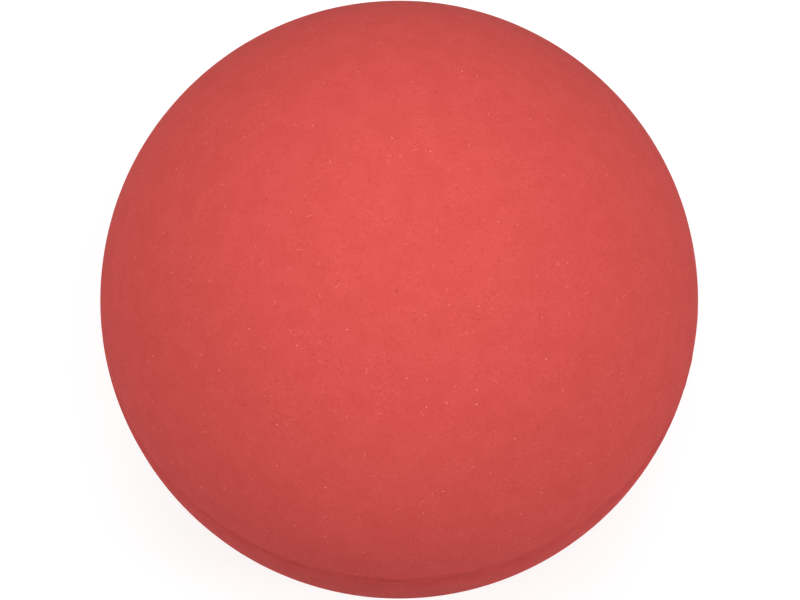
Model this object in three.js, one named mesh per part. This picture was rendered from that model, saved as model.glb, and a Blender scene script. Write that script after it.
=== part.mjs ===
// Hollow rubber ball: two moulded half shells, joined round the equator by a ring of rubber cement.
// Millimetres, +Z up. The origin is the centre of the ball, and the seam lies in the plane z = 0.

import * as THREE from "three";

// Driving dimensions of the ball and its wall
const BALL_DIAMETER = 60;
const WALL = 4;

// Driving dimensions of the rims: each lip rolls in from the skin to a flat land that takes the cement
const GROOVE_WIDTH = 1.2;
const LIP_DEPTH = 0.5;

// Driving dimensions of the cement: its stand below the skin, its film and its bead inside the ball
const CEMENT_RECESS = 0.04;
const CEMENT_FILM = 0.3;
const BEAD_WIDTH = 2.2;
const BEAD_HEIGHT = 0.6;

// How finely the round shapes are divided
const STEPS_ROUND = 72;
const SKIN_STEPS = 20;
const WALL_STEPS = 12;
const SHOULDER_STEPS = 2;
const FLANK_STEPS = 3;
const BEAD_STEPS = 6;

// Sizes that follow from the driving dimensions
const skinRadius = BALL_DIAMETER / 2;
const wallRadius = skinRadius - WALL;
const filmTop = CEMENT_FILM / 2;
const lipStart = GROOVE_WIDTH / 2;
const beadTop = BEAD_WIDTH / 2;

const rubber = new THREE.MeshStandardMaterial({ color: 0xda524d, roughness: 0.8, metalness: 0 });
const cement = new THREE.MeshStandardMaterial({ color: 0xcb4843, roughness: 0.78, metalness: 0 });

// Every section is drawn in one plane: x is the distance from the ball's axis, and y is the height.

// Evenly spaced places from one value to another, both included
function spread(from, to, steps) {
  return Array.from({ length: steps + 1 }, (_, i) => from + ((to - from) * i) / steps);
}

// The point of a sphere's section at a height over the seam plane
function onSphere(radius, height) {
  return new THREE.Vector2(Math.sqrt(radius ** 2 - height ** 2), height);
}

// A sphere's section from its pole down to a height over the seam plane
function dome(radius, height, steps) {
  const arc = spread(Math.PI / 2, Math.asin(height / radius), steps).slice(1);
  const points = arc.map((angle) => new THREE.Vector2(radius * Math.cos(angle), radius * Math.sin(angle)));
  return [new THREE.Vector2(0, radius), ...points];
}

// The lip rolls in from the skin along a quarter of an ellipse, and ends level with the land
const lipTop = onSphere(skinRadius, lipStart);
const lipFoot = new THREE.Vector2(lipTop.x - LIP_DEPTH, filmTop);
const cementTurn = Math.acos(1 - CEMENT_RECESS / LIP_DEPTH);

function lip(fromTurn, toTurn, steps) {
  return spread(fromTurn, toTurn, steps).map((turn) => {
    const x = lipFoot.x + LIP_DEPTH * Math.cos(turn);
    const y = lipTop.y + (lipFoot.y - lipTop.y) * Math.sin(turn);
    return new THREE.Vector2(x, y);
  });
}

// The part of the lip that stays bare, and the part that the cement covers
const shoulder = lip(0, cementTurn, SHOULDER_STEPS);
const flank = lip(cementTurn, Math.PI / 2, FLANK_STEPS);

// Where the land ends at the inner wall, and the cement bead that covers that corner
const landEnd = onSphere(wallRadius, filmTop);
const beadEdge = onSphere(wallRadius, beadTop);

function bead() {
  return spread(0, Math.PI, BEAD_STEPS).map((turn) => {
    const x = beadEdge.x - BEAD_HEIGHT * Math.sin(turn);
    return new THREE.Vector2(x, beadTop * Math.cos(turn));
  });
}

// The same points on the other side of the seam plane
function below(points) {
  return points.map((point) => new THREE.Vector2(point.x, -point.y));
}

// A lathe turns its profile about Y, so the result is stood up to put the ball's axis on Z
function turned(profile) {
  return new THREE.LatheGeometry(profile, STEPS_ROUND).rotateX(Math.PI / 2);
}

// One half of the ball as it leaves the mould: inner wall, land, lip and skin
function halfShellGeometry() {
  const skin = dome(skinRadius, lipStart, SKIN_STEPS);
  const innerWall = dome(wallRadius, beadTop, WALL_STEPS);
  const rim = [landEnd, ...flank.slice(1).reverse(), ...shoulder.slice(1).reverse()];
  return turned([...innerWall, ...rim, ...skin.reverse()]);
}

// The cement fills the groove nearly flush, holds the lands together and stands in a bead inside
function cementGeometry() {
  const outerEdge = [...below(flank).reverse(), ...flank];
  return turned([...outerEdge, landEnd, ...bead(), ...below([landEnd]), outerEdge[0]]);
}

function named(name, geometry, material) {
  const mesh = new THREE.Mesh(geometry, material);
  mesh.name = name;
  return mesh;
}

// Both halves come from the same mould, so the lower one is the upper one turned over
const halfShell = halfShellGeometry();
const upperHalfShell = named("upper_half_shell", halfShell, rubber);
const lowerHalfShell = named("lower_half_shell", halfShell, rubber);
lowerHalfShell.rotation.x = Math.PI;

const seamCementRing = named("seam_cement_ring", cementGeometry(), cement);

const ball = new THREE.Group();
ball.add(upperHalfShell, lowerHalfShell, seamCementRing);

export default ball;
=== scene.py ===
"""Looks of a hollow rubber ball: two moulded half shells, cemented together round the equator.

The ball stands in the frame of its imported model, in metres: +Z runs through the poles of the half shells,
and the seam lies in the plane z = 0.
"""

import logging
import math
from dataclasses import dataclass
from enum import Enum

import bmesh
import bpy
from mathutils import Matrix, Vector, noise


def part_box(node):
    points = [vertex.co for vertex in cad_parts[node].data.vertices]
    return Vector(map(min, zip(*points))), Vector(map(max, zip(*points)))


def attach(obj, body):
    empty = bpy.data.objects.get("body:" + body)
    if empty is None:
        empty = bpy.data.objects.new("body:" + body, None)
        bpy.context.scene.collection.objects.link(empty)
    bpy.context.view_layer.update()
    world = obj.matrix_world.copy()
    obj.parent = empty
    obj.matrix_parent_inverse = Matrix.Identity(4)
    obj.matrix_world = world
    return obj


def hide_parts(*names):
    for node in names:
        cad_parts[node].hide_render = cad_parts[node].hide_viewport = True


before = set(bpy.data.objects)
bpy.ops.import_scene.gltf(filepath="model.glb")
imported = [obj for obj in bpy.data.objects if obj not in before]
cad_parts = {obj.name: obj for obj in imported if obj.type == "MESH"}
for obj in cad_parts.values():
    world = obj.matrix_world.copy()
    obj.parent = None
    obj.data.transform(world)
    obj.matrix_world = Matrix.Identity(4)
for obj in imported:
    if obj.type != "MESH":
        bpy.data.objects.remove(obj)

LOG = logging.getLogger("rubber_ball")

MM = 0.001
QUARTER_TURN = math.pi / 2
HALF_TURN = math.pi
FULL_TURN = 2 * math.pi
MERGE_DISTANCE = 0.0005 * MM
SHARP_EDGE_ANGLE = math.radians(40)
CENTRE = Vector((0, 0, 0))
AXIS = Vector((0, 0, 1))
UNSTRETCHED = Vector((1, 1, 1))
SECTORS = 16
WHITE = (1, 1, 1, 1)

RGB = tuple[float, float, float]
Levels = tuple[float, float]
Socket = bpy.types.NodeSocket
Source = Socket | float | tuple[float, ...]

# The middle of a noise, and of a number drawn by lot: both run from 0 to 1
MIDDLE = 0.5

# Strength of a noise's finer layers, where the noise has to look crisp
CRISP = 0.6

# Where a noise brings a cloud or a smear to its full, and where it no longer does
CLOUDY: Levels = (0.62, 0.38)


class Half(Enum):
    """The two half shells, each by the side of the seam plane that it lies on."""

    UPPER = 1
    LOWER = -1

    @property
    def node(self) -> str:
        """The name of this half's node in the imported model."""
        return f"{self.name.lower()}_half_shell"


@dataclass(frozen=True)
class BallSizes:
    """The sizes that the half shells and the cement share.

    Args:
        skin_radius: Radius of the ball's skin.
        film_top: Height of the cement film's upper face, where the upper half's land lies.
        cement_radius: Distance of the cement's outer face from the ball's axis.
        bead_top: Height of the upper edge of the cement bead inside.
        wall: Thickness of a half shell's wall.
        groove_width: Width of the seam groove across both lips.
        lip_depth: How far a lip rolls in from the skin to its land.
        bead_height: How far the bead stands in from the inner wall.
    """

    skin_radius: float
    film_top: float
    cement_radius: float
    bead_top: float
    wall: float = 4.0 * MM
    groove_width: float = 1.2 * MM
    lip_depth: float = 0.5 * MM
    bead_height: float = 0.6 * MM

    @classmethod
    def from_frame(cls) -> "BallSizes":
        """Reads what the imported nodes' boxes tell.

        Returns:
            The sizes of this ball.
        """
        shell_low, shell_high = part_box(Half.UPPER.node)
        _, cement_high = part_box("seam_cement_ring")
        return cls(
            skin_radius=shell_high.z,
            film_top=shell_low.z,
            cement_radius=cement_high.x,
            bead_top=cement_high.z,
        )

    @property
    def wall_radius(self) -> float:
        """Radius of the inner wall."""
        return self.skin_radius - self.wall

    @property
    def mid_wall_radius(self) -> float:
        """Radius that parts the outer faces from the inner ones."""
        return self.skin_radius - self.wall / 2

    @property
    def lip_top(self) -> Vector:
        """Where a lip leaves the skin, in the section through the axis."""
        return on_sphere(self.skin_radius, self.groove_width / 2)

    @property
    def lip_centre(self) -> Vector:
        """The centre that a lip rolls in about."""
        return self.lip_top - Vector((self.lip_depth, 0, 0))

    @property
    def lip_foot(self) -> Vector:
        """Where a lip ends, level with the land."""
        return Vector((self.lip_centre.x, 0, self.film_top))

    @property
    def land_end(self) -> Vector:
        """Where the land ends at the inner wall."""
        return on_sphere(self.wall_radius, self.film_top)

    @property
    def bead_edge(self) -> Vector:
        """Where the cement bead ends on the inner wall."""
        return on_sphere(self.wall_radius, self.bead_top)


@dataclass(frozen=True)
class Unevenness:
    """Gentle unevenness of a surface that was moulded, cemented and buffed.

    Args:
        height: How far the surface swells in or out.
        length: Distance from one swell to the next.
        seed: Shifts the pattern, so that no two are alike.
    """

    height: float
    length: float
    seed: float

    def at(self, place: Vector) -> float:
        """The swell at a place, from minus to plus the height."""
        shifted = place / self.length + Vector((self.seed, -self.seed, 2 * self.seed))
        return self.height * noise.noise(shifted, noise_basis="PERLIN_ORIGINAL")


@dataclass(frozen=True)
class SeamWander:
    """How the seam strays from its plane: both lips and the cement between them follow it alike.

    Args:
        rise: How far the whole seam wanders up and down.
        spread: How far the lips stand further apart, or closer.
        reach: Height over the seam at which nothing follows it any more.
    """

    rise: Unevenness = Unevenness(height=0.15 * MM, length=4.0 * MM, seed=8.1)
    spread: Unevenness = Unevenness(height=0.2 * MM, length=2.2 * MM, seed=2.9)
    reach: float = 3.0 * MM

    def shift(self, place: Vector, sizes: BallSizes) -> float:
        """How far a place near the seam moves up.

        Args:
            place: The place before it moves.
            sizes: The ball's sizes.

        Returns:
            The distance along +Z.
        """
        seam = out_from_axis(place) * sizes.skin_radius
        follows = max(0.0, 1 - abs(place.z) / self.reach) ** 2
        side = max(-1.0, min(1.0, place.z / sizes.lip_top.z))
        return follows * (self.rise.at(seam) + side * self.spread.at(seam))


def on_sphere(radius: float, height: float) -> Vector:
    """The point of a sphere's section at a height over the seam plane.

    Args:
        radius: Radius of the sphere.
        height: Height of the point.

    Returns:
        The point, in the plane of X and Z.
    """
    return Vector((math.sqrt(radius**2 - height**2), 0, height))


def out_from_axis(place: Vector) -> Vector:
    """The direction from the ball's axis to a place, level with the seam plane."""
    return Vector((place.x, place.y, 0)).normalized()


def mirrored(point: Vector) -> Vector:
    """The same point on the other side of the seam plane."""
    return Vector((point.x, point.y, -point.z))


def swing(
    mesh: bmesh.types.BMesh,
    start: bmesh.types.BMVert,
    angle: float,
    steps: int,
    centre: Vector = CENTRE,
    stretch: Vector = UNSTRETCHED,
) -> bmesh.types.BMVert:
    """Draws an arc of a section by turning a vertex in the plane of X and Z.

    Args:
        mesh: The mesh that holds the section.
        start: The vertex that the arc starts from.
        angle: How far it turns, from +Z towards +X.
        steps: Number of edges in the arc.
        centre: The centre that it turns about.
        stretch: Scale of the arc about its centre, which makes it part of an ellipse.

    Returns:
        The arc's last vertex.
    """
    drawn = len(mesh.verts)
    spun = bmesh.ops.spin(mesh, geom=[start], cent=centre, axis=(0, 1, 0), angle=angle, steps=steps)
    mesh.verts.ensure_lookup_table()
    bmesh.ops.scale(mesh, verts=mesh.verts[drawn:], vec=stretch, space=Matrix.Translation(-centre))
    return next(part for part in spun["geom_last"] if isinstance(part, bmesh.types.BMVert))


def draw_to(
    mesh: bmesh.types.BMesh, start: bmesh.types.BMVert, points: list[Vector]
) -> bmesh.types.BMVert:
    """Extends a section by straight edges.

    Args:
        mesh: The mesh that holds the section.
        start: The vertex that the first edge starts from.
        points: Where each edge ends.

    Returns:
        The last vertex.
    """
    last = start
    for point in points:
        made = bmesh.ops.extrude_vert_indiv(mesh, verts=[last])
        last = made["verts"][0]
        last.co = point
    return last


def revolve(mesh: bmesh.types.BMesh, steps_per_sector: int) -> None:
    """Turns a section once round the ball's axis: one sector first, which is then repeated.

    A full turn in one spin takes far longer, and gives the same mesh.

    Args:
        mesh: The mesh that holds the section.
        steps_per_sector: Number of steps in each sector.
    """
    section = mesh.verts[:] + mesh.edges[:]
    sector_angle = FULL_TURN / SECTORS
    bmesh.ops.spin(mesh, geom=section, cent=CENTRE, axis=AXIS, angle=sector_angle, steps=steps_per_sector)
    sector = mesh.verts[:] + mesh.edges[:] + mesh.faces[:]
    rest = FULL_TURN - sector_angle
    bmesh.ops.spin(
        mesh, geom=sector, cent=CENTRE, axis=AXIS, angle=rest, steps=SECTORS - 1, use_duplicate=True
    )
    bmesh.ops.remove_doubles(mesh, verts=mesh.verts[:], dist=MERGE_DISTANCE)
    bmesh.ops.recalc_face_normals(mesh, faces=mesh.faces[:])


def finish_piece(mesh: bmesh.types.BMesh, name: str) -> bpy.types.Object:
    """Makes a smooth-shaded object of a mesh, with its corners kept sharp.

    Args:
        mesh: The finished mesh, which is freed.
        name: The name of the object and of its data.

    Returns:
        The object, at the origin.
    """
    data = bpy.data.meshes.new(name)
    mesh.to_mesh(data)
    mesh.free()
    data.shade_smooth()
    data.set_sharp_from_angle(angle=SHARP_EDGE_ANGLE)
    piece = bpy.data.objects.new(name, data)
    bpy.context.scene.collection.objects.link(piece)
    return piece


@dataclass(frozen=True)
class Tint:
    """A colour laid over another.

    Args:
        colour: The colour.
        strength: How much it covers, from 0 to 1.
    """

    colour: RGB
    strength: float


def opaque(colour: RGB) -> tuple[float, ...]:
    """A colour with a full alpha."""
    return (*colour, 1)


class NodeKit:
    """Adds nodes to a node tree and joins them by name."""

    # A Mix node has sockets for each kind of value under the same names, so its colours go by number
    MIX_SHARE = 0
    MIX_FIRST = 6
    MIX_SECOND = 7
    MIX_RESULT = 2

    def __init__(self, tree: bpy.types.NodeTree) -> None:
        """Keeps the tree that the nodes go into."""
        self.tree = tree

    def add(self, kind: str, **settings: object) -> bpy.types.Node:
        """Adds a node.

        Args:
            kind: The node's type.
            **settings: The node's own properties.

        Returns:
            The node.
        """
        node = self.tree.nodes.new(kind)
        for name, value in settings.items():
            setattr(node, name, value)
        return node

    def feed(self, source: Source, node: bpy.types.Node, socket: str | int) -> None:
        """Joins a socket to a node's input, or sets the input to a value.

        Args:
            source: An output socket, or a number, vector or colour.
            node: The node that takes it.
            socket: The input's name or number.
        """
        target = node.inputs[socket]
        if isinstance(source, Socket):
            self.tree.links.new(source, target)
        else:
            target.default_value = source

    def math(self, operation: str, *values: Source, clamp: bool = False) -> Socket:
        """Adds a Math node.

        Args:
            operation: What it works out.
            *values: Its inputs, sockets or numbers.
            clamp: Whether the result is held between 0 and 1.

        Returns:
            Its output.
        """
        node = self.add("ShaderNodeMath", operation=operation, use_clamp=clamp)
        for index, value in enumerate(values):
            self.feed(value, node, index)
        return node.outputs[0]

    def times(self, first: Source, second: Source) -> Socket:
        """The product of two numbers."""
        return self.math("MULTIPLY", first, second)

    def vector(self, operation: str, *values: Source) -> bpy.types.Node:
        """Adds a Vector Math node.

        Args:
            operation: What it works out.
            *values: Its vector inputs, sockets or vectors.

        Returns:
            The node, whose first output is a vector and whose Value is a number.
        """
        node = self.add("ShaderNodeVectorMath", operation=operation)
        for index, value in enumerate(values):
            self.feed(value, node, index)
        return node

    def scaled(self, source: Source, factor: Source) -> Socket:
        """Adds a Vector Math node that scales a vector.

        Args:
            source: The vector.
            factor: What it is multiplied by.

        Returns:
            The scaled vector.
        """
        node = self.vector("SCALE", source)
        self.feed(factor, node, "Scale")
        return node.outputs[0]

    def dot(self, first: Source, second: Source) -> Socket:
        """How far one vector reaches along another."""
        return self.vector("DOT_PRODUCT", first, second).outputs["Value"]

    def centred(self, colour: Source) -> Socket:
        """A colour as a vector whose parts run from minus to plus one half."""
        return self.vector("SUBTRACT", colour, (MIDDLE, MIDDLE, MIDDLE)).outputs[0]

    def channels(self, colour: Source) -> tuple[Socket, ...]:
        """Splits a colour of a pattern into three numbers drawn by lot.

        Args:
            colour: The colour.

        Returns:
            Its red, green and blue.
        """
        node = self.add("ShaderNodeSeparateColor")
        self.feed(colour, node, "Color")
        return tuple(node.outputs)

    def fade(self, value: Source, start: Source, end: Source) -> Socket:
        """A smooth step from 1 at start to 0 at end.

        Args:
            value: What is tested.
            start: Where the step starts.
            end: Where it ends.

        Returns:
            The step's output.
        """
        node = self.add("ShaderNodeMapRange", interpolation_type="SMOOTHSTEP")
        self.feed(value, node, "Value")
        self.feed(start, node, "From Min")
        self.feed(end, node, "From Max")
        self.feed(1, node, "To Min")
        self.feed(0, node, "To Max")
        return node.outputs["Result"]

    def noise(
        self, place: Source, length: Source, detail: float = 2, roughness: float = 0.5
    ) -> bpy.types.Node:
        """Adds a Noise Texture.

        Args:
            place: The coordinates that it reads.
            length: Distance from one swell to the next.
            detail: Number of finer layers.
            roughness: Strength of the finer layers.

        Returns:
            The node.
        """
        node = self.add("ShaderNodeTexNoise")
        self.feed(place, node, "Vector")
        self.feed(self.math("DIVIDE", 1, length), node, "Scale")
        self.feed(detail, node, "Detail")
        self.feed(roughness, node, "Roughness")
        return node

    def cells(self, place: Source, spacing: Source) -> bpy.types.Node:
        """Adds a Voronoi Texture, whose cells each hold one point.

        Args:
            place: The coordinates that it reads.
            spacing: Distance from one cell to the next.

        Returns:
            The node.
        """
        node = self.add("ShaderNodeTexVoronoi", feature="F1")
        self.feed(place, node, "Vector")
        self.feed(self.math("DIVIDE", 1, spacing), node, "Scale")
        return node

    def mix(self, share: Source, first: Source, second: Source) -> Socket:
        """Mixes two colours.

        Args:
            share: How much of the second colour there is.
            first: The first colour.
            second: The second colour.

        Returns:
            The mixed colour.
        """
        node = self.add("ShaderNodeMix", data_type="RGBA")
        self.feed(share, node, self.MIX_SHARE)
        self.feed(first, node, self.MIX_FIRST)
        self.feed(second, node, self.MIX_SECOND)
        return node.outputs[self.MIX_RESULT]

    def tinted(self, colour: Source, mask: Source, tint: Tint) -> Socket:
        """Lays a tint over a colour.

        Args:
            colour: The colour below it.
            mask: Where the tint lies, from 0 to 1.
            tint: The tint.

        Returns:
            The tinted colour.
        """
        return self.mix(self.times(mask, tint.strength), colour, opaque(tint.colour))


class EffectGroup:
    """A shader node group with named inputs and outputs, made once and used by several finishes."""

    name: str = ""
    inputs: dict[str, float] = {}
    outputs: tuple[str, ...] = ()

    def tree(self) -> bpy.types.NodeTree:
        """The group's node tree, built the first time that it is asked for.

        Returns:
            The tree.
        """
        if self.name in bpy.data.node_groups:
            return bpy.data.node_groups[self.name]
        tree = bpy.data.node_groups.new(self.name, "ShaderNodeTree")
        tree.interface.new_socket("Place", in_out="INPUT", socket_type="NodeSocketVector")
        for label, value in self.inputs.items():
            socket = tree.interface.new_socket(label, in_out="INPUT", socket_type="NodeSocketFloat")
            socket.default_value = value
        for label in self.outputs:
            tree.interface.new_socket(label, in_out="OUTPUT", socket_type="NodeSocketFloat")
        kit = NodeKit(tree)
        given = dict(kit.add("NodeGroupInput").outputs.items())
        result = kit.add("NodeGroupOutput")
        for label, source in zip(self.outputs, self.wire(kit, given)):
            kit.feed(source, result, label)
        return tree

    def wire(self, kit: NodeKit, given: dict[str, Socket]) -> tuple[Socket, ...]:
        """Makes the group's nodes.

        Args:
            given: The group's inputs by their names.

        Returns:
            The group's outputs, in the order of their names.
        """
        raise NotImplementedError

    def place_in(self, kit: NodeKit, place: Socket, **values: float) -> bpy.types.Node:
        """Places the group in a material.

        Args:
            place: The coordinates that the effect reads.
            **values: The group's inputs, by their names with underscores for spaces.

        Returns:
            The group node.
        """
        node = kit.add("ShaderNodeGroup", node_tree=self.tree())
        kit.feed(place, node, "Place")
        for label, value in values.items():
            kit.feed(value, node, label.replace("_", " "))
        return node


class RubberGrain(EffectGroup):
    """The fine matte grain of moulded and buffed rubber, with small nubs and dimples strewn over it."""

    name = "rubber_grain"
    inputs = {"Grain Size": 0.2 * MM, "Nub Size": 0.38 * MM, "Patch Size": 3.0 * MM}
    outputs = ("Height", "Tone")

    # Where the noise brings out the full grain, a nub or a dimple, and where it no longer does
    grainy: Levels = (0.6, 0.4)
    nub: Levels = (0.76, 0.62)
    dimple: Levels = (0.26, 0.38)

    # The grain that is left where the rubber is buffed, and how much nubs and dimples change the tone
    buffed_grain = 0.35
    relief_in_tone = 0.25

    def wire(self, kit: NodeKit, given: dict[str, Socket]) -> tuple[Socket, ...]:
        """Adds fine grain, fainter where the rubber is buffed smooth, and nubs and dimples.

        A nub or dimple stands at each highest or lowest place of a coarser noise.

        Args:
            given: The group's inputs by their names.

        Returns:
            The height and the tone.
        """
        place = given["Place"]
        fine = kit.noise(place, given["Grain Size"], roughness=CRISP).outputs["Fac"]
        patches = kit.noise(place, given["Patch Size"], detail=1).outputs["Fac"]
        strength = kit.math("ADD", kit.fade(patches, *self.grainy), self.buffed_grain)
        grain = kit.math("MULTIPLY_ADD", kit.math("SUBTRACT", fine, MIDDLE), strength, MIDDLE)
        swells = kit.noise(place, given["Nub Size"], detail=1).outputs["Fac"]
        relief = kit.math("SUBTRACT", kit.fade(swells, *self.nub), kit.fade(swells, *self.dimple))
        height = kit.math("ADD", grain, relief)
        tone = kit.math("MULTIPLY_ADD", relief, self.relief_in_tone, grain, clamp=True)
        return height, tone


class Specks(EffectGroup):
    """Scattered specks, each in a cell of its own, such as dust on the skin or pits in it."""

    name = "scattered_specks"
    inputs = {"Spacing": 1.8 * MM, "Radius": 0.1 * MM, "Raggedness": 0.06 * MM}
    outputs = ("Mask",)

    # Distance between the rags of an edge, and the share of the radius within which a speck is full
    rag_length = 0.15 * MM
    core = 0.4

    def wire(self, kit: NodeKit, given: dict[str, Socket]) -> tuple[Socket, ...]:
        """Measures the distance to each cell's own point, and keeps what lies within its own radius.

        Args:
            given: The group's inputs by their names.

        Returns:
            The mask, as its only output.
        """
        place = given["Place"]
        ragged = kit.centred(kit.noise(place, self.rag_length, detail=1).outputs["Color"])
        moved = kit.vector("ADD", place, kit.scaled(ragged, given["Raggedness"])).outputs[0]
        cells = kit.cells(moved, given["Spacing"])
        away = kit.times(cells.outputs["Distance"], given["Spacing"])
        radius = kit.times(given["Radius"], kit.channels(cells.outputs["Color"])[0])
        return (kit.fade(away, kit.times(radius, self.core), radius),)


class Lint(EffectGroup):
    """Short curved fibres that lie on the skin of a ball centred on the origin."""

    name = "stray_lint"
    inputs = {"Spacing": 3.4 * MM, "Length": 1.2 * MM, "Width": 0.05 * MM, "Bend": 0.5}
    outputs = ("Mask",)

    # The shares of a fibre's width and of its reach within which it is full
    core = 0.3
    untapered = 0.6

    # How near the skin a cell's point has to lie for its fibre to show, as a share of the spacing
    skin_depth = 0.2

    def wire(self, kit: NodeKit, given: dict[str, Socket]) -> tuple[Socket, ...]:
        """Draws one fibre about each cell's own point, along a direction that the cell draws by lot.

        Args:
            given: The group's inputs by their names.

        Returns:
            The mask, as its only output.
        """
        place, spacing = given["Place"], given["Spacing"]
        length, width, bend = given["Length"], given["Width"], given["Bend"]
        cells = kit.cells(place, spacing)
        _, long_lot, curl_lot = kit.channels(cells.outputs["Color"])
        outward = kit.vector("NORMALIZE", place).outputs[0]
        heading = kit.vector("CROSS_PRODUCT", outward, kit.centred(cells.outputs["Color"])).outputs[0]
        along = kit.vector("NORMALIZE", heading).outputs[0]
        across = kit.vector("CROSS_PRODUCT", outward, along).outputs[0]
        offset = kit.vector("SUBTRACT", place, cells.outputs["Position"]).outputs[0]
        run, aside, depth = (kit.dot(offset, way) for way in (along, across, outward))
        half_length = kit.times(length, 0.5)
        share = kit.math("DIVIDE", run, half_length)
        curl = kit.times(kit.times(kit.math("SUBTRACT", curl_lot, MIDDLE), bend), length)
        bow = kit.times(kit.times(share, share), curl)
        off_line = kit.math("ABSOLUTE", kit.math("SUBTRACT", aside, bow))
        on_line = kit.fade(off_line, kit.times(width, self.core), width)
        reach = kit.times(half_length, long_lot)
        within = kit.fade(kit.math("ABSOLUTE", run), kit.times(reach, self.untapered), reach)
        near = kit.math("LESS_THAN", kit.math("ABSOLUTE", depth), kit.times(spacing, self.skin_depth))
        return (kit.times(kit.times(on_line, within), near),)


class SeamGrime(EffectGroup):
    """Smeared cement and grime along the seam: patchy, and with a reach of its own on either side."""

    name = "seam_grime"
    # On the skin, the wide reach below the seam is painted shade that darkens the lower side
    inputs = {"Above": 0.9 * MM, "Below": 1.6 * MM, "Patch Size": 4.0 * MM, "Wobble": 0.0, "Turn": 0.0}
    outputs = ("Mask",)

    # Distance from one bend of the wobbling line to the next
    bend_length = 2.0 * MM

    # The least share of its reach that the band has, and the share of its width within which it is full
    narrowest = 0.5
    core = 0.15

    # Where the noise brings the grime to its full and to its faintest, and how much is left there
    patchy: Levels = (0.64, 0.32)
    faintest = 0.1

    def wire(self, kit: NodeKit, given: dict[str, Socket]) -> tuple[Socket, ...]:
        """Fades with the height from a wobbling line, and lets a noise vary its width and strength.

        Args:
            given: The group's inputs by their names.

        Returns:
            The mask, as its only output.
        """
        place = given["Place"]
        height = kit.add("ShaderNodeSeparateXYZ")
        kit.feed(place, height, "Vector")
        bends = kit.noise(place, self.bend_length, detail=3).outputs["Fac"]
        sway = kit.math("SUBTRACT", bends, MIDDLE)
        level = kit.math("MULTIPLY_ADD", sway, given["Wobble"], height.outputs["Z"])
        rise = kit.math("DIVIDE", level, given["Above"])
        fall = kit.math("DIVIDE", kit.times(level, -1), given["Below"])
        turned = kit.add("ShaderNodeVectorRotate", rotation_type="Z_AXIS")
        kit.feed(place, turned, "Vector")
        kit.feed(given["Turn"], turned, "Angle")
        patches = kit.noise(turned.outputs[0], given["Patch Size"], detail=4, roughness=CRISP)
        strength, width, _ = kit.channels(patches.outputs["Color"])
        edge = kit.math("ADD", width, self.narrowest)
        band = kit.fade(kit.math("MAXIMUM", rise, fall), kit.times(edge, self.core), edge)
        patch = kit.fade(strength, *self.patchy)
        shown = kit.math("MULTIPLY_ADD", patch, 1 - self.faintest, self.faintest)
        return (kit.times(band, shown),)


@dataclass(frozen=True)
class Dots:
    """Small round marks strewn over the skin, such as dust or pits.

    Args:
        spacing: Distance from one to the next.
        radius: Radius of the biggest.
    """

    spacing: float
    radius: float

    def mask(self, kit: NodeKit, place: Socket) -> Socket:
        """Where they lie on the coordinates given."""
        return Specks().place_in(kit, place, Spacing=self.spacing, Radius=self.radius).outputs["Mask"]


@dataclass(frozen=True)
class Fibres:
    """Thin curved marks strewn over the skin, such as lint or scuffs.

    Args:
        spacing: Distance from one to the next.
        length: Length of the longest.
        width: Distance from the middle of one to where its soft edge ends.
    """

    spacing: float
    length: float
    width: float

    def mask(self, kit: NodeKit, place: Socket) -> Socket:
        """Where they lie on the coordinates given."""
        node = Lint().place_in(kit, place, Spacing=self.spacing, Length=self.length, Width=self.width)
        return node.outputs["Mask"]


class Surface:
    """A material while it is built: its nodes, its shader and the coordinates that its patterns read."""

    # How far the roughness differs between the lightest and the darkest tone of the grain
    roughness_spread = 0.1

    def __init__(self, name: str) -> None:
        """Starts the material.

        Args:
            name: The material's name.
        """
        self.material = bpy.data.materials.new(name)
        self.material.use_nodes = True
        self.kit = NodeKit(self.material.node_tree)
        self.shader = self.material.node_tree.nodes["Principled BSDF"]
        self.place = self.kit.add("ShaderNodeTexCoord").outputs["Object"]

    def colour(self, colour: Source) -> None:
        """Gives the material its colour."""
        self.kit.feed(colour, self.shader, "Base Color")

    def shine(self, tone: Source, roughness: float, gloss: float) -> None:
        """Gives the material its roughness and its reflections.

        Args:
            tone: The tone of its grain, which makes it a little more or less rough.
            roughness: How matte it is.
            gloss: Strength of its reflections.
        """
        smoothest = roughness - self.roughness_spread / 2
        rough = self.kit.math("MULTIPLY_ADD", tone, self.roughness_spread, smoothest)
        self.kit.feed(rough, self.shader, "Roughness")
        self.kit.feed(gloss, self.shader, "Specular IOR Level")

    def emboss(self, height: Source, depth: float) -> None:
        """Gives the material a fine relief.

        Args:
            height: The relief, as a multiple of the depth.
            depth: How far a height of 1 stands out.
        """
        bump = self.kit.add("ShaderNodeBump")
        self.kit.feed(height, bump, "Height")
        self.kit.feed(1, bump, "Strength")
        self.kit.feed(depth, bump, "Distance")
        self.kit.feed(bump.outputs["Normal"], self.shader, "Normal")


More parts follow.
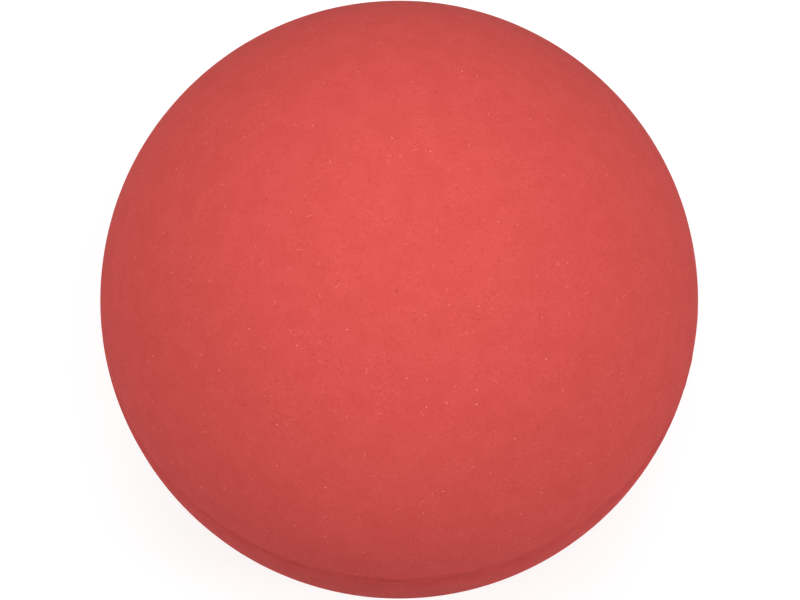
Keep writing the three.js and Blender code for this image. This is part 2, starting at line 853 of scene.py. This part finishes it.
@dataclass(frozen=True)
class RubberSkin:
    """Matte salmon-red rubber with fine grain, a faint cloudiness, dust, lint, scuffs and a few pits.

    Args:
        peak_colour: The rubber's colour on the grain.
        valley_colour: Its colour between the grains.
        cloud_tint: The slightly deeper colour of its clouds.
        cloud_size: Distance from one cloud to the next.
        grime_tint: The colour of the band along the seam: partly a real smear, partly painted shade that
            darkens the skin below the seam.
        grime_above: How far the band reaches above the seam.
        grime_below: How far it reaches below the seam. Its wider reach there is painted shade.
        pits: How the pits are strewn.
        pit_tint: The colour in a pit.
        pit_depth: Depth of a pit, as a multiple of the grain's.
        scuffs: How the scuffs are strewn, which are as deep as the grain.
        scuff_tint: The faint colour along a scuff.
        dust: How the dust is strewn.
        lint: How the lint is strewn.
        lint_strength: How much of it shows, next to the dust.
        stray_tint: The colour of dust and lint.
        stray_height: How high dust and lint lie, as a multiple of the grain's depth.
        aside: Turn that keeps pits and scuffs from falling where dust and lint do.
        roughness: How matte the skin is.
        gloss: Strength of its reflections.
        sheen: Strength of the pale bloom seen along the skin.
        sheen_roughness: How far the bloom spreads in from the outline.
        grain_depth: Depth of the fine grain.
    """

    peak_colour: RGB = (0.77, 0.121, 0.109)
    valley_colour: RGB = (0.655, 0.0635, 0.054)
    cloud_tint: Tint = Tint((0.65, 0.0735, 0.064), strength=0.36)
    cloud_size: float = 2.4 * MM
    # Partly a real smear along the seam, partly painted shade: its wide reach below the seam darkens the
    # lower side as shade would
    grime_tint: Tint = Tint((0.6, 0.047, 0.045), strength=0.48)
    grime_above: float = 1.2 * MM
    grime_below: float = 4.0 * MM
    pits: Dots = Dots(spacing=1.1 * MM, radius=0.11 * MM)
    pit_tint: Tint = Tint((0.45, 0.042, 0.035), strength=0.75)
    pit_depth: float = 2.0
    scuffs: Fibres = Fibres(spacing=1.1 * MM, length=0.9 * MM, width=0.08 * MM)
    scuff_tint: Tint = Tint((0.45, 0.042, 0.035), strength=0.14)
    dust: Dots = Dots(spacing=0.95 * MM, radius=0.11 * MM)
    lint: Fibres = Fibres(spacing=3.3 * MM, length=0.9 * MM, width=0.055 * MM)
    lint_strength: float = 0.4
    stray_tint: Tint = Tint((0.9, 0.33, 0.28), strength=0.85)
    stray_height: float = 1.5
    aside: tuple[float, float, float] = (0.7, 1.1, 0.4)
    roughness: float = 0.8
    gloss: float = 0.05
    sheen: float = 0.008
    sheen_roughness: float = 0.5
    grain_depth: float = 0.0105 * MM

    def material(self) -> bpy.types.Material:
        """Builds the finish.

        Returns:
            The material.
        """
        surface = Surface("salmon_rubber_skin")
        kit, place = surface.kit, surface.place
        turned = kit.add("ShaderNodeMapping")
        kit.feed(place, turned, "Vector")
        kit.feed(self.aside, turned, "Rotation")
        pits = self.pits.mask(kit, turned.outputs[0])
        scuffs = self.scuffs.mask(kit, turned.outputs[0])
        lint = kit.times(self.lint.mask(kit, place), self.lint_strength)
        stray = kit.math("MAXIMUM", self.dust.mask(kit, place), lint)
        grain = RubberGrain().place_in(kit, place)
        clouds = kit.noise(place, self.cloud_size, detail=3, roughness=CRISP).outputs["Fac"]
        # The band along the seam: a real smear near it, and painted shade over its wide reach below it
        grime = SeamGrime().place_in(kit, place, Above=self.grime_above, Below=self.grime_below)
        shade = kit.mix(grain.outputs["Tone"], opaque(self.valley_colour), opaque(self.peak_colour))
        for mask, tint in (
            (kit.fade(clouds, *CLOUDY), self.cloud_tint),
            (grime.outputs["Mask"], self.grime_tint),
            (pits, self.pit_tint),
            (scuffs, self.scuff_tint),
            (stray, self.stray_tint),
        ):
            shade = kit.tinted(shade, mask, tint)
        sunk = kit.math("ADD", kit.times(pits, self.pit_depth), scuffs)
        bare = kit.math("SUBTRACT", grain.outputs["Height"], sunk)
        surface.colour(shade)
        surface.shine(grain.outputs["Tone"], self.roughness, self.gloss)
        surface.emboss(kit.math("ADD", bare, kit.times(stray, self.stray_height)), self.grain_depth)
        kit.feed(self.sheen, surface.shader, "Sheen Weight")
        kit.feed(self.sheen_roughness, surface.shader, "Sheen Roughness")
        return surface.material


@dataclass(frozen=True)
class CementFinish:
    """Cured rubber cement in the groove: deeper in colour, a little lumpy, with grime along it.

    Args:
        colour: The cement's own colour.
        thin_colour: Its colour where it is smeared thin over the rubber.
        smear_size: Distance from one thin smear to the next.
        grime_tint: The colour of the grime that lies in it.
        grime_above: How far the line of grime reaches above its middle.
        grime_below: How far it reaches below its middle.
        grime_wobble: How far the line strays up and down.
        grime_turn: How far the pattern of the grime is turned about the ball's axis.
        nub_size: Distance from one small lump to the next.
        roughness: How matte it is.
        gloss: Strength of its reflections.
        lump_depth: Depth of its fine lumps.
    """

    colour: RGB = (0.67, 0.0715, 0.063)
    thin_colour: RGB = (0.705, 0.082, 0.0725)
    smear_size: float = 1.5 * MM
    grime_tint: Tint = Tint((0.5, 0.045, 0.039), strength=0.53)
    grime_above: float = 0.5 * MM
    grime_below: float = 0.65 * MM
    grime_wobble: float = 1.2 * MM
    grime_turn: float = math.radians(47)
    nub_size: float = 0.5 * MM
    roughness: float = 0.78
    gloss: float = 0.1
    lump_depth: float = 0.02 * MM

    def material(self) -> bpy.types.Material:
        """Builds the finish.

        Returns:
            The material.
        """
        surface = Surface("seam_cement")
        kit, place = surface.kit, surface.place
        grain = RubberGrain().place_in(kit, place, Nub_Size=self.nub_size)
        grime = SeamGrime().place_in(
            kit,
            place,
            Above=self.grime_above,
            Below=self.grime_below,
            Wobble=self.grime_wobble,
            Turn=self.grime_turn,
        )
        smears = kit.noise(place, self.smear_size).outputs["Fac"]
        shade = kit.mix(kit.fade(smears, *CLOUDY), opaque(self.colour), opaque(self.thin_colour))
        surface.colour(kit.tinted(shade, grime.outputs["Mask"], self.grime_tint))
        surface.shine(grain.outputs["Tone"], self.roughness, self.gloss)
        surface.emboss(grain.outputs["Height"], self.lump_depth)
        return surface.material


@dataclass
class HalfShell:
    """One half of the ball as it leaves the mould: skin, rolled-in lip, flat land and inner wall.

    Args:
        half: Which half it is.
        sizes: The ball's sizes.
        wander: How the seam strays from its plane.
        rubber: The finish that both halves share.
        sector_steps: Steps round the axis in each sector.
        skin_steps: Steps of the skin from the pole to the rim.
        rim_steps: Steps of the skin from the rim to the lip.
        lip_steps: Steps of the lip.
        inner_steps: Steps of the inner wall from the bead's edge to the pole.
        rim_height: Height over the seam at which the finer steps of the rim start.
        swell: Unevenness of the skin.
    """

    half: Half
    sizes: BallSizes
    wander: SeamWander
    rubber: bpy.types.Material
    sector_steps: int = 48
    skin_steps: int = 40
    rim_steps: int = 10
    lip_steps: int = 8
    inner_steps: int = 16
    rim_height: float = 4.0 * MM
    swell: Unevenness = Unevenness(height=0.03 * MM, length=9.0 * MM, seed=3.7)

    def build(self) -> bpy.types.Object:
        """Builds the half shell.

        Returns:
            The piece, riding on the ball's body.
        """
        mesh = bmesh.new()
        self.draw_section(mesh)
        revolve(mesh, self.sector_steps)
        if self.half is Half.LOWER:
            over = Matrix.Rotation(HALF_TURN, 3, "X")
            bmesh.ops.rotate(mesh, verts=mesh.verts[:], cent=CENTRE, matrix=over)
        self.uneven(mesh)
        piece = finish_piece(mesh, f"{self.half.node}_skin")
        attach(piece, "root")
        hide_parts(self.half.node)
        self.dress(piece)
        return piece

    def dress(self, piece: bpy.types.Object) -> None:
        """Gives the half shell its finish."""
        piece.data.materials.append(self.rubber)

    def draw_section(self, mesh: bmesh.types.BMesh) -> None:
        """Draws the section of the upper half: pole, skin, lip, land and inner wall to the inner pole.

        Args:
            mesh: The empty mesh that it is drawn in.
        """
        sizes = self.sizes
        rim_angle = math.asin(self.rim_height / sizes.skin_radius)
        lip_angle = math.asin(sizes.lip_top.z / sizes.skin_radius)
        bead_angle = math.asin(sizes.bead_top / sizes.wall_radius)
        pole = mesh.verts.new((0, 0, sizes.skin_radius))
        rim = swing(mesh, pole, QUARTER_TURN - rim_angle, self.skin_steps)
        lip = swing(mesh, rim, rim_angle - lip_angle, self.rim_steps)
        drop = (sizes.lip_top.z - sizes.film_top) / sizes.lip_depth
        foot = swing(mesh, lip, QUARTER_TURN, self.lip_steps, sizes.lip_centre, Vector((1, 1, drop)))
        wall = draw_to(mesh, foot, [sizes.land_end, sizes.bead_edge])
        swing(mesh, wall, bead_angle - QUARTER_TURN, self.inner_steps)

    def uneven(self, mesh: bmesh.types.BMesh) -> None:
        """Swells the skin a little, and lets the rim follow the seam.

        Args:
            mesh: The mesh of the half shell, with even surfaces.
        """
        for vert in mesh.verts:
            if vert.co.length > self.sizes.mid_wall_radius:
                vert.co += vert.co.normalized() * self.swell.at(vert.co)
            vert.co.z += self.wander.shift(vert.co, self.sizes)


@dataclass
class CementRing:
    """The cement between the rims: a face in the groove, a film between the lands and a bead inside.

    Args:
        sizes: The ball's sizes.
        wander: How the seam strays from its plane.
        cement: The finish of the ring.
        sector_steps: Steps round the axis in each sector.
        face_steps: Steps of the face in the groove.
        bead_steps: Steps of the bead's curve.
        bite: How far the face runs in under each lip.
        fill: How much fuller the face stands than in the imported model.
        dip: How far the middle of the face sinks between the lips.
        margin: How far out of the film a point lies at least, if it belongs to the face or the bead.
        lumps: Unevenness of the face.
        bead_lumps: Unevenness of the bead.
    """

    sizes: BallSizes
    wander: SeamWander
    cement: bpy.types.Material
    sector_steps: int = 96
    face_steps: int = 10
    bead_steps: int = 10
    bite: float = 0.1 * MM
    fill: float = 0.02 * MM
    dip: float = 0.004 * MM
    margin: float = 0.004 * MM
    lumps: Unevenness = Unevenness(height=0.07 * MM, length=1.1 * MM, seed=5.3)
    bead_lumps: Unevenness = Unevenness(height=0.25 * MM, length=4.0 * MM, seed=1.2)

    def build(self) -> bpy.types.Object:
        """Builds the cement ring.

        Returns:
            The piece, riding on the ball's body.
        """
        mesh = bmesh.new()
        self.draw_section(mesh)
        revolve(mesh, self.sector_steps)
        self.uneven(mesh)
        piece = finish_piece(mesh, "seam_cement")
        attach(piece, "root")
        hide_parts("seam_cement_ring")
        self.dress(piece)
        return piece

    def dress(self, piece: bpy.types.Object) -> None:
        """Gives the ring its finish."""
        piece.data.materials.append(self.cement)

    def face_edge(self) -> Vector:
        """Works out the upper edge of the face: where it meets the lip, and on by the bite.

        Returns:
            The edge, in the section through the axis.
        """
        sizes = self.sizes
        radius = sizes.cement_radius + self.fill
        roll = math.acos((radius - sizes.lip_centre.x) / sizes.lip_depth)
        meets = sizes.lip_top.z - (sizes.lip_top.z - sizes.film_top) * math.sin(roll)
        return Vector((radius, 0, meets + self.bite))

    def draw_section(self, mesh: bmesh.types.BMesh) -> None:
        """Draws the closed section: face, film and bead.

        Args:
            mesh: The empty mesh that it is drawn in.
        """
        sizes, edge = self.sizes, self.face_edge()
        start = mesh.verts.new(mirrored(edge))
        middle = Vector((edge.x, 0, 0))
        face = swing(mesh, start, HALF_TURN, self.face_steps, middle, Vector((self.dip / edge.z, 1, 1)))
        film = draw_to(mesh, face, [sizes.lip_foot, sizes.land_end, sizes.bead_edge])
        root = Vector((sizes.bead_edge.x, 0, 0))
        flat = Vector((sizes.bead_height / sizes.bead_top, 1, 1))
        bead = swing(mesh, film, -HALF_TURN, self.bead_steps, root, flat)
        last = draw_to(mesh, bead, [mirrored(sizes.land_end), mirrored(sizes.lip_foot)])
        mesh.edges.new((last, start))

    def uneven(self, mesh: bmesh.types.BMesh) -> None:
        """Lets the face rise and fall and the bead swell and thin, and lets both follow the seam.

        Args:
            mesh: The mesh of the ring, with even surfaces.
        """
        for vert in mesh.verts:
            outward = out_from_axis(vert.co)
            seam = outward * self.sizes.skin_radius + Vector((0, 0, vert.co.z))
            if vert.co.xy.length > self.sizes.lip_foot.x + self.margin:
                vert.co += outward * self.lumps.at(seam)
            elif vert.co.xy.length < self.sizes.bead_edge.x - self.margin:
                vert.co += outward * self.bead_lumps.at(seam)
            vert.co.z += self.wander.shift(vert.co, self.sizes)


@dataclass(frozen=True)
class SoftBox:
    """A soft light that shines on the ball.

    Args:
        name: The light's name.
        azimuth: Direction round the ball in degrees, 0 on the camera's side and 90 on its right.
        elevation: Height over the horizon in degrees.
        power: Its power in watts.
        size: Width of its round face.
        distance: Distance from the ball's centre.
    """

    name: str
    azimuth: float
    elevation: float
    power: float
    size: float = 0.5
    distance: float = 0.9

    def place(self) -> None:
        """Adds the light, turned to the ball."""
        data = bpy.data.lights.new(self.name, "AREA")
        data.shape = "DISK"
        data.size = self.size
        data.energy = self.power
        light = bpy.data.objects.new(self.name, data)
        turn, rise = math.radians(self.azimuth), math.radians(self.elevation)
        away = Vector((math.sin(turn) * math.cos(rise), -math.cos(turn) * math.cos(rise), math.sin(rise)))
        light.location = away * self.distance
        light.rotation_euler = away.to_track_quat("Z", "Y").to_euler()
        bpy.context.scene.collection.objects.link(light)


@dataclass
class Studio:
    """A pale floor, soft lights and the photograph's camera.

    Args:
        sizes: The ball's sizes.
        camera_elevation: Height of the camera over the seam plane, in degrees.
        camera_roll: How far the camera is turned about its view, in degrees.
        limb_angle: Angle between the lines to the ball's centre and to its outline, in degrees.
        outline_px: Radius of the ball's outline in the picture.
        centre_px: Where the ball's centre is in the picture.
        picture_px: The picture's width and height.
        sensor_mm: Width of the camera's sensor.
        near_clip: Where the camera's view starts, as a share of its distance.
        far_clip: Where it ends, as a multiple of the floor's radius.
        floor_colour: The floor's colour for the light that it throws on the ball.
        floor_seen: The floor's colour for the camera, which keeps shadows on it faint.
        floor_roughness: How matte the floor is.
        floor_drop: How far the floor lies below the skin's even round, clear of its swells.
        floor_lift: Faint glow of the floor on the ball, which lightens the ball's underside.
        floor_glow: Brightness that the floor has for the camera alone, beside the ball.
        far_glow: The same brightness where the floor meets the backdrop.
        glow_reach: Distances at which the one brightness starts and ends turning into the other.
        floor_radius: How far the floor reaches.
        floor_sides: Number of sides of its round edge.
        backdrop: Brightness of the plain backdrop that only the camera sees.
        air_strength: Strength of the light from all round.
        lights: The soft lights.
    """

    sizes: BallSizes
    camera_elevation: float = 67.3
    camera_roll: float = 1.18
    limb_angle: float = 3.25
    outline_px: float = 299.0
    centre_px: tuple[float, float] = (399.1, 299.6)
    picture_px: tuple[int, int] = (800, 600)
    sensor_mm: float = 36.0
    near_clip: float = 0.1
    far_clip: float = 4.0
    floor_colour: RGB = (0.7, 0.67, 0.7)
    floor_seen: RGB = (0.35, 0.35, 0.35)
    floor_roughness: float = 0.9
    floor_drop: float = 0.03 * MM
    floor_lift: float = 0.035
    floor_glow: float = 0.75
    far_glow: float = 0.93
    glow_reach: tuple[float, float] = (0.2, 1.6)
    floor_radius: float = 4.0
    floor_sides: int = 64
    backdrop: float = 0.98
    air_strength: float = 0.1
    lights: tuple[SoftBox, ...] = (
        SoftBox("camera_softbox", azimuth=0, elevation=70, power=1.93),
        SoftBox("overhead_softbox", azimuth=0, elevation=90, power=1.25, size=0.6),
        SoftBox("right_softbox", azimuth=72, elevation=47, power=3.55),
        SoftBox("left_softbox", azimuth=-83, elevation=46, power=2.9),
        SoftBox("back_softbox", azimuth=180, elevation=42, power=1.1),
    )

    def build(self) -> None:
        """Adds the floor, the lights, the air's glow and the camera."""
        self.lay_floor()
        for light in self.lights:
            light.place()
            LOG.info("light %s", light.name)
        self.fill_air()
        self.set_camera()
        bpy.context.scene.view_settings.view_transform = "Standard"

    def lay_floor(self) -> None:
        """Lays the floor under the ball, which the camera sees through from below."""
        mesh = bmesh.new()
        bmesh.ops.create_circle(mesh, cap_ends=True, segments=self.floor_sides, radius=self.floor_radius)
        level = -self.sizes.skin_radius - self.floor_drop
        bmesh.ops.translate(mesh, verts=mesh.verts[:], vec=(0, 0, level))
        floor = finish_piece(mesh, "floor")
        floor.data.materials.append(self.floor_finish())

    def floor_finish(self) -> bpy.types.Material:
        """Builds the floor's finish: matte, with a glow that is for the camera, and clear from below.

        Returns:
            The material.
        """
        surface = Surface("pale_floor")
        kit, shader = surface.kit, surface.shader
        kit.feed(self.floor_roughness, shader, "Roughness")
        kit.feed(WHITE, shader, "Emission Color")
        seen = kit.add("ShaderNodeLightPath").outputs["Is Camera Ray"]
        surface.colour(kit.mix(seen, opaque(self.floor_colour), opaque(self.floor_seen)))
        away = kit.vector("LENGTH", surface.place).outputs["Value"]
        near = kit.fade(away, *self.glow_reach)
        glow = kit.math("MULTIPLY_ADD", near, self.floor_glow - self.far_glow, self.far_glow)
        seen_glow = kit.times(seen, kit.math("SUBTRACT", glow, self.floor_lift))
        kit.feed(kit.math("ADD", seen_glow, self.floor_lift), shader, "Emission Strength")
        below = kit.add("ShaderNodeNewGeometry").outputs["Backfacing"]
        clear = kit.add("ShaderNodeBsdfTransparent").outputs[0]
        blend = kit.add("ShaderNodeMixShader")
        for index, source in enumerate((kit.times(seen, below), shader.outputs[0], clear)):
            kit.feed(source, blend, index)
        kit.feed(blend.outputs[0], surface.material.node_tree.nodes["Material Output"], "Surface")
        return surface.material

    def fill_air(self) -> None:
        """Gives the ball a faint light from all round, and the camera a plain pale backdrop."""
        world = bpy.data.worlds.new("studio_air")
        bpy.context.scene.world = world
        world.use_nodes = True
        kit = NodeKit(world.node_tree)
        sky = world.node_tree.nodes["Background"]
        kit.feed(WHITE, sky, "Color")
        seen = kit.add("ShaderNodeLightPath").outputs["Is Camera Ray"]
        glow = kit.math("MULTIPLY_ADD", seen, self.backdrop - self.air_strength, self.air_strength)
        kit.feed(glow, sky, "Strength")

    def set_camera(self) -> None:
        """Places the camera so that the ball's outline falls where it does in the picture."""
        limb = math.radians(self.limb_angle)
        width, height = self.picture_px
        focal_px = self.outline_px / math.tan(limb)
        distance = self.sizes.skin_radius / math.sin(limb)
        metres_per_px = distance / focal_px
        data = bpy.data.cameras.new("photo_camera")
        data.sensor_width = self.sensor_mm
        data.lens = focal_px * self.sensor_mm / width
        data.clip_start = self.near_clip * distance
        data.clip_end = self.far_clip * self.floor_radius
        camera = bpy.data.objects.new("photo_camera", data)
        rise = math.radians(self.camera_elevation)
        back = Vector((0, -math.cos(rise), math.sin(rise)))
        roll = Matrix.Rotation(math.radians(self.camera_roll), 3, "Z")
        turned = back.to_track_quat("Z", "Y").to_matrix() @ roll
        right = (width / 2 - self.centre_px[0]) * metres_per_px
        up = (self.centre_px[1] - height / 2) * metres_per_px
        stand = back * distance + turned @ Vector((right, up, 0))
        camera.matrix_world = Matrix.Translation(stand) @ turned.to_4x4()
        bpy.context.scene.collection.objects.link(camera)
        bpy.context.scene.camera = camera


def main() -> None:
    """Builds the ball and its studio."""
    logging.basicConfig(level=logging.INFO, format="%(name)s: %(message)s")
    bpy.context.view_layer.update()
    sizes = BallSizes.from_frame()
    Studio(sizes).build()
    wander = SeamWander()
    rubber = RubberSkin().material()
    for half in Half:
        shell = HalfShell(half, sizes, wander, rubber).build()
        LOG.info("%s: %d faces", shell.name, len(shell.data.polygons))
    ring = CementRing(sizes, wander, CementFinish().material()).build()
    LOG.info("%s: %d faces", ring.name, len(ring.data.polygons))


if __name__ == "__main__":
    main()
